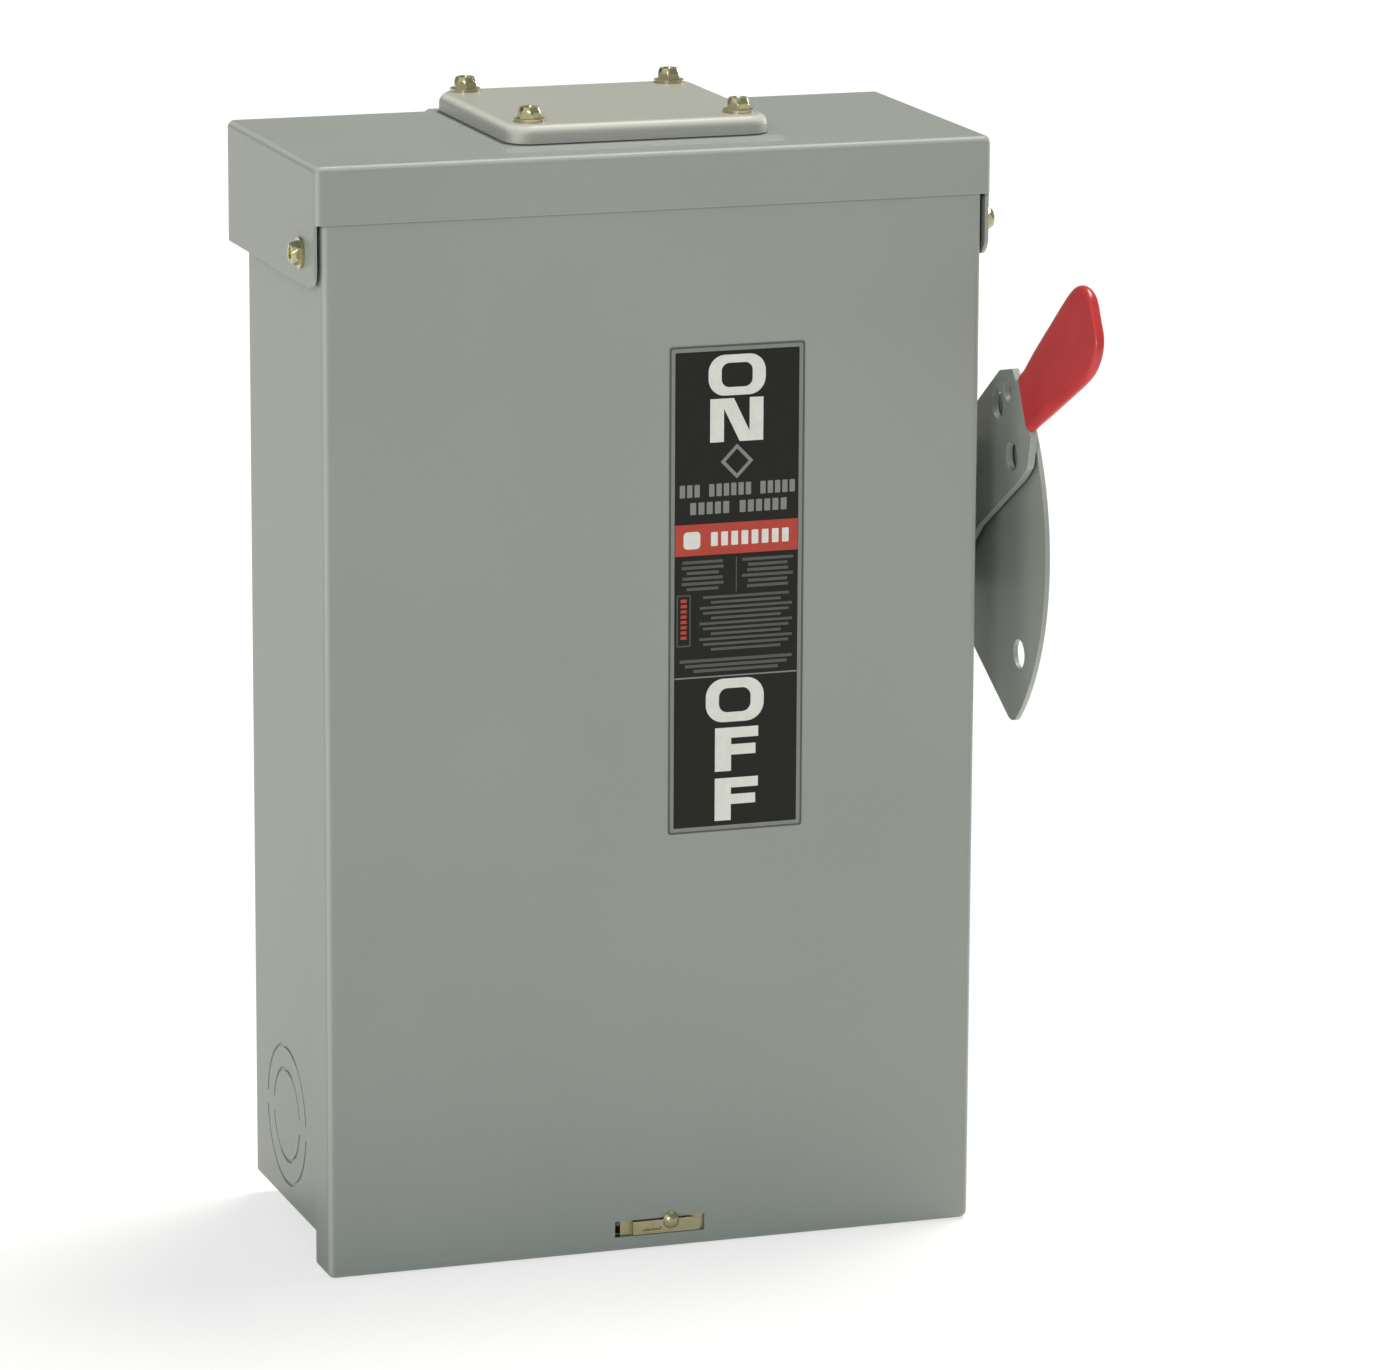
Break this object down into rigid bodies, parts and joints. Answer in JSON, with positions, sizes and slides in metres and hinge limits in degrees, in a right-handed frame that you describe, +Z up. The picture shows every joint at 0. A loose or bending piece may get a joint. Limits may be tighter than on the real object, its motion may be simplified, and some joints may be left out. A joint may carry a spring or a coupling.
{
  "type": "outdoor fusible disconnect switch",
  "caption": "Wall-mounted steel switch box with a rain hood, a lift-up front cover, a lockable side handle, knife switch blades and cartridge fuses inside.",
  "frame": {"origin": "on the wall plane, at the centre of the four wall holes in the back of the box", "axes": "+X to the right as seen from the front, +Y into the wall, so the front faces -Y, +Z up"},
  "size_m": [0.3237, 0.181, 0.4756],
  "materials": {
    "powder_coat": "satin grey powder coat",
    "hub_coat": "lighter grey satin powder coat",
    "yellow_zinc": "yellow zinc plated steel",
    "plated_steel": "clear zinc plated steel",
    "red_vinyl": "red dipped vinyl, soft sheen",
    "label_print": "printed black label film with a clear coat",
    "gasket_rubber": "black rubber",
    "spring_steel": "oiled spring steel",
    "moulded_black": "black moulded phenolic",
    "fibre_board": "vulcanised fibre sheet",
    "clear_shield": "clear plastic sheet",
    "copper": "tin flashed copper",
    "lug_aluminium": "plated aluminium",
    "fuse_tube": "glass melamine tube"
  },
  "bodies": {
    "box": {"box_shell": "powder_coat", "bottom_endwall": "powder_coat", "rain_hood": "powder_coat", "hub_plate": "hub_coat", "hub_gasket": "gasket_rubber", "hub_plate_screws": "yellow_zinc", "cover_pivot_screws": "yellow_zinc", "cover_pivot_nuts": "plated_steel", "latch_keeper": "plated_steel", "shaft_bushing": "plated_steel", "bushing_nut": "plated_steel", "handle_guard": "powder_coat", "guard_screws": "yellow_zinc", "mechanism_bracket": "plated_steel", "bracket_screws": "yellow_zinc", "toggle_spring": "spring_steel", "switch_base": "moulded_black", "base_screws": "yellow_zinc", "phase_barrier": "fibre_board", "line_shield": "clear_shield", "line_straps": "copper", "line_jaws": "copper", "hinge_straps": "copper", "hinge_clips": "copper", "blade_pins": "plated_steel", "upper_fuse_clips": "copper", "lower_fuse_clips": "copper", "load_straps": "copper", "line_lugs": "lug_aluminium", "load_lugs": "lug_aluminium", "fuse_tubes": "fuse_tube", "fuse_caps": "copper", "line_lug_screws": "plated_steel", "load_lug_screws": "plated_steel", "neutral_insulator": "moulded_black", "neutral_fixing_screws": "yellow_zinc", "neutral_bar": "lug_aluminium", "neutral_bar_screws": "plated_steel", "ground_bar": "lug_aluminium", "ground_bar_screws": "plated_steel"},
    "cover": {"front_cover": "powder_coat", "label_plate": "label_print", "latch_guide": "plated_steel", "interlock_catch": "plated_steel"},
    "latch": {"latch_slide": "yellow_zinc", "latch_stud": "yellow_zinc"},
    "handle": {"handle_shaft": "plated_steel", "lever_pin": "plated_steel", "shaft_rings": "plated_steel", "handle_lever": "powder_coat", "handle_grip": "red_vinyl", "shaft_crank": "plated_steel", "crank_pin": "plated_steel", "interlock_arm": "plated_steel"},
    "link": {"drive_link": "plated_steel"},
    "rotor": {"rotor_arm": "plated_steel", "rotor_pin": "plated_steel", "blade_crossbar": "moulded_black", "switch_blades": "copper"}
  },
  "joints": [
    {"name": "cover_lift", "type": "hinge", "parent": "box", "child": "cover", "pos_m": [0, -0.1107, 0.1876], "axis": [-1, 0, 0], "range_deg": [0, 65]},
    {"name": "latch_slide_joint", "type": "slide", "parent": "cover", "child": "latch", "axis": [-1, 0, 0], "range_m": [0, 0.007]},
    {"name": "handle_throw", "type": "hinge", "parent": "box", "child": "handle", "pos_m": [0, -0.052, 0.0465], "axis": [1, 0, 0], "range_deg": [0, 84]},
    {"name": "link_swing", "type": "hinge", "parent": "handle", "child": "link", "pos_m": [0.0935, -0.08171, 0.05067], "axis": [1, 0, 0], "range_deg": [-84, 0]},
    {"name": "blade_throw", "type": "hinge", "parent": "box", "child": "rotor", "pos_m": [0, -0.034, 0.036], "axis": [1, 0, 0], "range_deg": [0, 84]}
  ],
  "couplings": [
    {"joint": "link_swing", "follows": "handle_throw", "ratio": -1},
    {"joint": "blade_throw", "follows": "handle_throw", "ratio": 1}
  ]
}
